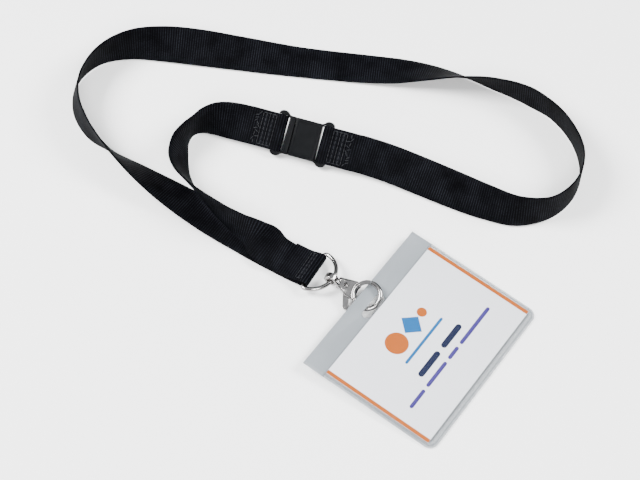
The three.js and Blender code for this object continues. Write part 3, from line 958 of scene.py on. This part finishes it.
def hoop_wire(name, radius, path_radius, first, last, height=0.0, sides=20):
    """A round wire along the hoop, from one angle to a smaller one, with capped ends."""
    x, y = round_hoop(first, path_radius)
    piece = start(
        name, bpy.ops.mesh.primitive_circle_add, vertices=sides, radius=radius,
        fill_type="NGON", rotation=(math.pi / 2, 0, 0),
    )
    bpy.ops.object.transform_apply(location=True, rotation=True, scale=True)
    piece.data.transform(
        Matrix.Translation((x, y, height)) @ turned("Z", first)
    )
    return edit(
        piece,
        lambda mesh: bpy.ops.mesh.select_all(action="SELECT"),
        spin((HOOP_X, 0, height), (0, 0, -1), first - last, max(8, round((first - last) / 5))),
        lambda mesh: bpy.ops.mesh.select_all(action="SELECT"),
        lambda mesh: bpy.ops.mesh.normals_make_consistent(inside=False),
    )


def hook_outline():
    """The flat outline of the hook's cheeks, from the neck to the hoop."""
    outer, inner = HOOP_RADIUS + HOOP_WIRE, HOOP_RADIUS - HOOP_WIRE
    return [
        (3.9, -2.6), (6.6, -3.2), (9.6, -5), round_hoop(TAIL, outer),
        *hoop_arc(TAIL, GATE_TO, inner, 12), round_hoop(GATE_TO, outer), (7, 3.2), (3.9, 2.6),
    ]


def lever_room():
    """The shapes that the lever sweeps between the hook's cheeks."""
    def toward(angle, reach):
        a = math.radians(angle)
        return PIVOT_X + reach * math.cos(a), PIVOT_Y + reach * math.sin(a)
    gate = outlined(
        "gate_room", [toward(-20, 0), *(toward(-20 + 102 * i / 8, 16) for i in range(9))],
        -LEVER_ROOM, LEVER_ROOM,
    )
    shapes = [gate, rod("hub_room", "z", 2.9, -LEVER_ROOM, LEVER_ROOM, at=(PIVOT_X, PIVOT_Y, 0))]
    tab = math.degrees(math.atan2(TIP_Y - PIVOT_Y, TIP_X - PIVOT_X))
    for back in (0, 9, 18, 27):
        path = block("tab_room", (0, -1.75, -LEVER_ROOM), (16, 1.75, LEVER_ROOM))
        path.data.transform(
            Matrix.Translation((PIVOT_X, PIVOT_Y, 0)) @ turned("Z", tab - back)
        )
        shapes.append(path)
    return shapes


class LANYARD_OT_hook(bpy.types.Operator):
    """Cast the trigger hook with its rivet and spring"""

    bl_idname = "lanyard.hook"
    bl_label = "Trigger hook"

    def execute(self, context):
        colours = context.scene.lanyard_colours
        surface = nickel_plate(colours)
        body = outlined("hook_cast", hook_outline(), -CHEEK, CHEEK)
        # The cheeks slope down to the neck.
        edit(body, self.taper)
        body = softened(body, 0.55, 3)
        fused(body, *lever_room(), operation="DIFFERENCE")
        fused(
            body,
            rod("collar", "x", 3.1, 3.3, 4.8, soft=0.45),
            hoop_wire("hoop", HOOP_WIRE, HOOP_RADIUS, GATE_FROM, TAIL - 14 - 360),
        )
        # A raised lip carries the hoop's circle across both cheeks, inside a groove.
        for side in (-1, 1):
            groove = hoop_wire(
                "groove", 0.45, HOOP_RADIUS + 0.75, TAIL + 12, GATE_TO - 12, side * CHEEK, 12,
            )
            fused(body, groove, operation="DIFFERENCE")
            fused(body, hoop_wire(
                "lip", 0.6, HOOP_RADIUS - 0.4, TAIL - 2, GATE_TO + 2, side * (CHEEK - 0.15), 12,
            ))
        pivot_at = (PIVOT_X, PIVOT_Y, 0)
        fused(
            body,
            rod("pin_hole", "z", PIN_HOLE, -4, 4, at=pivot_at),
            rod("bore", "x", 1.3, 0, 5.8),
            block("head_room", (4.8, -1.9, -4), (6.05, 1.9, 1.85)),
            rod("dimple", "z", 2.35, CHEEK - 0.35, 4, at=pivot_at),
            rod("dimple_under", "z", 2.35, -4, 0.35 - CHEEK, at=pivot_at),
            operation="DIFFERENCE",
        )
        settle(body, HOOK, surface, "hook", "nickel", "hook_body")

        rivet = rod("rivet_set", "z", 1.0, -CHEEK - 0.2, CHEEK + 0.2, at=pivot_at)
        for side in (-1, 1):
            head = rod(
                "rivet_head", "z", 1.25, *sorted((side * (CHEEK - 0.3), side * (CHEEK + 0.45))),
                at=pivot_at, soft=0.3,
            )
            fused(rivet, head)
            # The punch leaves a small hollow in each head.
            fused(
                rivet,
                rod("punch", "z", 0.6, *sorted((side * (CHEEK + 0.25), side * 5)), at=pivot_at),
                operation="DIFFERENCE",
            )
        settle(rivet, HOOK, surface, "hook", "nickel", "trigger_rivet")
        refinish("trigger_spring", spring_steel())
        return {"FINISHED"}

    @staticmethod
    def taper(mesh):
        """Brings the cheeks closer together at the neck."""
        for vert in mesh.verts:
            if vert.co.x < 4.5:
                vert.co.z *= 0.9


class LANYARD_OT_trigger(bpy.types.Operator):
    """Form the trigger's gate and thumb tab"""

    bl_idname = "lanyard.trigger"
    bl_label = "Trigger"

    def execute(self, context):
        surface = bpy.data.materials["polished_nickel_plate"]
        outer, inner = HOOP_RADIUS + HOOP_WIRE, HOOP_RADIUS - HOOP_WIRE
        gate = outlined("trigger_formed", [
            (PIVOT_X - 0.4, PIVOT_Y + 2), (PIVOT_X + 1.6, PIVOT_Y - 0.6), (11.6, 1.3),
            *hoop_arc(GATE_TO, GATE_FROM + 4, inner + 0.3, 8),
            *hoop_arc(GATE_FROM + 4, GATE_TO, outer - 0.25, 8), (10.2, 3.5),
        ], -LEVER_HALF, LEVER_HALF)
        tab = outlined("tab", [
            (PIVOT_X - 1.6, PIVOT_Y - 0.6), (TIP_X - 1.25, TIP_Y - 0.6),
            (TIP_X + 1.2, TIP_Y + 0.6), (PIVOT_X + 1.6, PIVOT_Y - 0.6),
        ], -LEVER_HALF, LEVER_HALF)
        fused(
            gate, tab,
            rod("hub", "z", 1.9, -LEVER_HALF, LEVER_HALF, at=(PIVOT_X, PIVOT_Y, 0)),
            rod("paddle", "z", 1.35, -LEVER_HALF, LEVER_HALF, at=(TIP_X, TIP_Y, 0)),
        )
        softened(gate, 0.22, 3)
        fused(
            gate, rod("pin_hole", "z", PIN_HOLE, -3, 3, at=(PIVOT_X, PIVOT_Y, 0)),
            operation="DIFFERENCE",
        )
        settle(gate, HOOK, surface, "trigger", "nickel", "trigger_lever")
        return {"FINISHED"}


# ---------- badge holder and card ----------
def holder_outline(top, grow=0.0):
    """The holder's flat outline up to a height, with its two lower corners rounded."""
    left, right = -HOLDER_SIDE - grow, CARD_WIDTH + HOLDER_SIDE + grow
    low, r = -HOLDER_BOTTOM - grow, HOLDER_CORNER + grow
    points = [(left, top)]
    for centre, first in ((left + r, 180), (right - r, 270)):
        for i in range(9):
            a = math.radians(first + 90 * i / 8)
            points.append((centre + r * math.cos(a), low + r + r * math.sin(a)))
    return [*points, (right, top)]


def stadium(u, v, long, high, steps=10):
    """A slot's outline with round ends."""
    reach, r = (long - high) / 2, high / 2
    points = []
    for side, first in ((1, -90), (-1, 90)):
        for i in range(steps + 1):
            a = math.radians(first + 180 * i / steps)
            points.append((u + side * reach + r * math.cos(a), v + r * math.sin(a)))
    return points


class LANYARD_OT_holder(bpy.types.Operator):
    """Weld the badge holder from its two films"""

    bl_idname = "lanyard.holder"
    bl_label = "Badge holder"

    def execute(self, context):
        colours = context.scene.lanyard_colours
        back_film = soft_film(
            "frosted_vinyl_sheet", colours.back_film, linear("#868C91"), 0.84, 0.3, 30
        )
        front_film = soft_film(
            "clear_vinyl_sheet", linear("#3A3E42"), linear("#54595E"), 0.06, 0.08, 45
        )
        clear_back = soft_film(
            "clear_vinyl_back", linear("#8E9499"), linear("#A5ABB0"), 0.4, 0.2, 30
        )
        back = outlined("holder_back_film", holder_outline(CARD_HEIGHT + HOLDER_FLAP), 0, FILM)
        hole = outlined("slot", stadium(SLOT_U, SLOT_V, SLOT_LONG, SLOT_HIGH), -1, 2)
        fused(back, hole, operation="DIFFERENCE")
        softened(back, 0.1, 2)
        # Only the flap and the sheet behind the card are frosted; the welded border is clear.
        for at, across in (
            ((0, CARD_HEIGHT, 0), (0, 1, 0)), ((0, 0, 0), (0, 1, 0)),
            ((0, 0, 0), (1, 0, 0)), ((CARD_WIDTH, 0, 0), (1, 0, 0)),
        ):
            edit(
                back,
                lambda mesh: bpy.ops.mesh.select_all(action="SELECT"),
                lambda mesh: bpy.ops.mesh.bisect(plane_co=at, plane_no=across),
            )
        border = [
            face.index for face in back.data.polygons
            if face.center.y < CARD_HEIGHT and not (
                0 < face.center.x < CARD_WIDTH and face.center.y > 0)
        ]
        settle(back, BADGE, back_film, "badge", "film", "holder_back")
        back.data.materials.append(clear_back)
        for index in border:
            back.data.polygons[index].material_index = 1

        # The front film is welded down along its border, then rises over the card.
        top = CARD_HEIGHT + 0.7
        front = outlined("holder_front_film", holder_outline(top + 6), 0.36, 0.62)
        edit(
            front,
            pick_faces(lambda middle, normal: normal.z > 0.99),
            lambda mesh: bpy.ops.mesh.inset(thickness=0.9, depth=0),
            lambda mesh: bpy.ops.mesh.inset(thickness=0.25, depth=-0.12),
            lambda mesh: bpy.ops.mesh.inset(thickness=0.25, depth=0.12),
            lambda mesh: bpy.ops.mesh.inset(thickness=0.5, depth=0.55),
            lambda mesh: bpy.ops.mesh.inset(thickness=0.35, depth=0.15),
            self.hollow,
            lambda mesh: bpy.ops.mesh.select_all(action="SELECT"),
            lambda mesh: bpy.ops.mesh.bisect(
                plane_co=(0, top, 0), plane_no=(0, 1, 0), clear_outer=True
            ),
        )
        modified(front, "SOLIDIFY", thickness=0.22, offset=-1)
        settle(front, BADGE, front_film, "badge", "film", "holder_front")

        weld_film = soft_film(
            "heat_welded_vinyl_seam", linear("#5E6469"), linear("#787E83"), 0.5, 0.15, 60
        )
        for i, inside in enumerate((1.1, 3.3)):
            weld = outlined(f"weld_line_{i}", holder_outline(top + 6, -inside), 0.6, 0.64)
            edit(
                weld,
                pick_faces(lambda middle, normal: normal.z > 0.99),
                lambda mesh: bpy.ops.mesh.inset(thickness=0.28, depth=0),
                lambda mesh: bpy.ops.mesh.delete(type="FACE"),
                pick_faces(lambda middle, normal: normal.z < 0.99),
                lambda mesh: bpy.ops.mesh.delete(type="FACE"),
                lambda mesh: bpy.ops.mesh.select_all(action="SELECT"),
                lambda mesh: bpy.ops.mesh.bisect(
                    plane_co=(0, top, 0), plane_no=(0, 1, 0), clear_outer=True
                ),
            )
            modified(weld, "SOLIDIFY", thickness=0.06, offset=1)
            settle(weld, BADGE, weld_film, "badge", "film")
        return {"FINISHED"}

    @staticmethod
    def hollow(mesh):
        """Leaves only the upper skin."""
        gone = [
            face for face in mesh.faces
            if face.normal.z < -0.99 or (
                abs(face.normal.z) < 0.1 and face.calc_center_median().z < 0.6)
        ]
        bmesh.ops.delete(mesh, geom=gone, context="FACES")


def printed(name, points, surface):
    """A flat printed shape on the card, from its outline."""
    top = CARD_BASE + CARD_THICK
    piece = outlined(name, points, top, top + INK)
    return settle(piece, BADGE, surface, "badge", "card")


def disc(u, v, radius, sides=40):
    """A round outline."""
    turns = [2 * math.pi * i / sides for i in range(sides)]
    return [(u + radius * math.cos(a), v + radius * math.sin(a)) for a in turns]


def bar_outline(u0, u1, v, high):
    """A bar's outline with round ends, from u0 to u1."""
    return stadium((u0 + u1) / 2, v, u1 - u0, high, 6)


class LANYARD_OT_card(bpy.types.Operator):
    """Print the insert card with a plain generic layout"""

    bl_idname = "lanyard.card"
    bl_label = "Insert card"

    def execute(self, context):
        sizes, colours = context.scene.lanyard_sizes, context.scene.lanyard_colours
        top = CARD_BASE + CARD_THICK
        card = block("card_sheet", (0, 0, CARD_BASE), (CARD_WIDTH, CARD_HEIGHT, top), 0.08)
        paper = coated_card("coated_card", colours.card)
        settle(card, BADGE, paper, "badge", "card", "insert_card")
        band = coated_card("orange_ink", colours.band)
        sky = coated_card("sky_blue_ink", colours.sky)
        navy = coated_card("navy_ink", colours.navy)
        violet = coated_card("violet_ink", colours.violet)
        wide = sizes.band_wide / MM
        low, high = INK_MARGIN, CARD_HEIGHT - INK_MARGIN
        for name, u in (
            ("band_left", INK_MARGIN), ("band_right", CARD_WIDTH - wide - INK_MARGIN),
        ):
            printed(name, [(u, low), (u + wide, low), (u + wide, high), (u, high)], band)
        # A plain emblem of two discs with a diamond between them.
        printed("emblem_disc", disc(34.4, 42, 6), band)
        printed("emblem_diamond", [(47.4, 35.8), (53.2, 42), (47.4, 48.2), (41.6, 42)], sky)
        printed("emblem_dot", disc(56.4, 42, 2.6), band)
        printed("small_bar", bar_outline(28, 60, 32.2, 1.5), sky)
        for i, (u0, u1) in enumerate(((26.5, 43.5), (46.5, 62.5))):
            printed(f"name_bar_{i}", bar_outline(u0, u1, 23, 3.1), navy)
        for i, (u0, u1) in enumerate(((9.8, 22), (24.2, 41), (43.2, 51.5), (53.7, 79.4))):
            printed(f"title_bar_{i}", bar_outline(u0, u1, 17, 2), violet)
        return {"FINISHED"}


# ---------- stage ----------
def lamp(name, at, size, power, toward=(0, 20, 0)):
    """A square soft lamp that looks at a point. Places are in millimetres."""
    bpy.ops.object.light_add(type="AREA", location=Vector(at) * MM)
    made = bpy.context.active_object
    made.name = name
    made.data.size = size * MM
    made.data.energy = power
    made.rotation_euler = ((Vector(toward) - Vector(at)).to_track_quat("-Z", "Y")).to_euler()
    return made


class LANYARD_OT_stage(bpy.types.Operator):
    """Set up the camera, the pale floor and the soft studio light"""

    bl_idname = "lanyard.stage"
    bl_label = "Stage"

    def execute(self, context):
        scene = context.scene
        bpy.ops.object.camera_add()
        camera = context.active_object
        right, up = Vector((0.99897, 0.03818, 0.0244)), Vector((-0.04531, 0.8418, 0.53786))
        turn = Matrix((right, up, right.cross(up))).transposed().to_4x4()
        camera.matrix_world = Matrix.Translation((-0.04034, -0.45833, 0.75181)) @ turn
        camera.data.sensor_width = 36
        camera.data.lens = 98.3
        camera.data.clip_start, camera.data.clip_end = 0.01, 20
        scene.camera = camera

        floor = start("floor", bpy.ops.mesh.primitive_plane_add, size=8, location=(0, 0, -0.0004))
        surface, tree, shader = new_material("white_paper_sweep", Roughness=0.9)
        where = node(tree, "TexCoord", {}).outputs["Object"]
        mottle = node(tree, "TexNoise", {"Vector": where, "Scale": 6, "Detail": 3}).outputs["Fac"]
        put(shader, {"Base Color": between(tree, mottle, linear("#FAFAFA"), linear("#FDFDFD"))})
        floor.data.materials.append(surface)

        # The lamps keep clear of the way in which flat metal mirrors to the camera.
        lamp("key_lamp", (-950, 100, 950), 600, 50)
        lamp("fill_lamp", (950, 150, 900), 600, 34)
        lamp("near_lamp", (0, -900, 1000), 500, 22)
        world = bpy.data.worlds.new("studio")
        world.use_nodes = True
        tree = world.node_tree
        # Pale at the horizon and overhead, with dark studio walls between: bright metal
        # shows them as dark lines along its edges.
        height = node(
            tree, "SeparateXYZ", {"Vector": node(tree, "TexCoord", {}).outputs["Generated"]}
        ).outputs["Z"]
        low = node(
            tree, "MapRange",
            {"Value": height, "From Min": 0.12, "From Max": 0.26, "To Min": 0.8, "To Max": 0.04},
        ).outputs[0]
        high = node(
            tree, "MapRange",
            {"Value": height, "From Min": 0.62, "From Max": 0.9, "To Min": 0, "To Max": 1.0},
        ).outputs[0]
        put(tree.nodes["Background"], {
            "Color": linear("#E9ECEF"),
            "Strength": node(tree, "Math", {0: low, 1: high}, operation="ADD").outputs[0],
        })
        scene.world = world
        return {"FINISHED"}


# ---------- panel ----------
PIECES = (
    LANYARD_OT_stage, LANYARD_OT_webbing, LANYARD_OT_stitching, LANYARD_OT_buckle,
    LANYARD_OT_ring, LANYARD_OT_hook, LANYARD_OT_trigger, LANYARD_OT_holder, LANYARD_OT_card,
)


class LANYARD_PT_pieces(bpy.types.Panel):
    """Lists the lanyard's pieces and settings"""

    bl_idname = "LANYARD_PT_pieces"
    bl_label = "Badge lanyard"
    bl_space_type = "VIEW_3D"
    bl_region_type = "UI"
    bl_category = "Lanyard"

    def draw(self, context):
        for group in (context.scene.lanyard_sizes, context.scene.lanyard_colours):
            for name in group.__annotations__:
                self.layout.prop(group, name)
        for piece in PIECES:
            self.layout.operator(piece.bl_idname)


CLASSES = (LanyardSizes, LanyardColours, *PIECES, LANYARD_PT_pieces)


def register():
    for made in CLASSES:
        bpy.utils.register_class(made)
    bpy.types.Scene.lanyard_sizes = bpy.props.PointerProperty(type=LanyardSizes)
    bpy.types.Scene.lanyard_colours = bpy.props.PointerProperty(type=LanyardColours)


def unregister():
    del bpy.types.Scene.lanyard_colours
    del bpy.types.Scene.lanyard_sizes
    for made in reversed(CLASSES):
        bpy.utils.unregister_class(made)


def main():
    register()
    bpy.ops.lanyard.stage()
    bpy.ops.lanyard.webbing()
    bpy.ops.lanyard.stitching()
    bpy.ops.lanyard.buckle()
    bpy.ops.lanyard.ring()
    bpy.ops.lanyard.hook()
    bpy.ops.lanyard.trigger()
    bpy.ops.lanyard.holder()
    bpy.ops.lanyard.card()


if __name__ == "__main__":
    main()
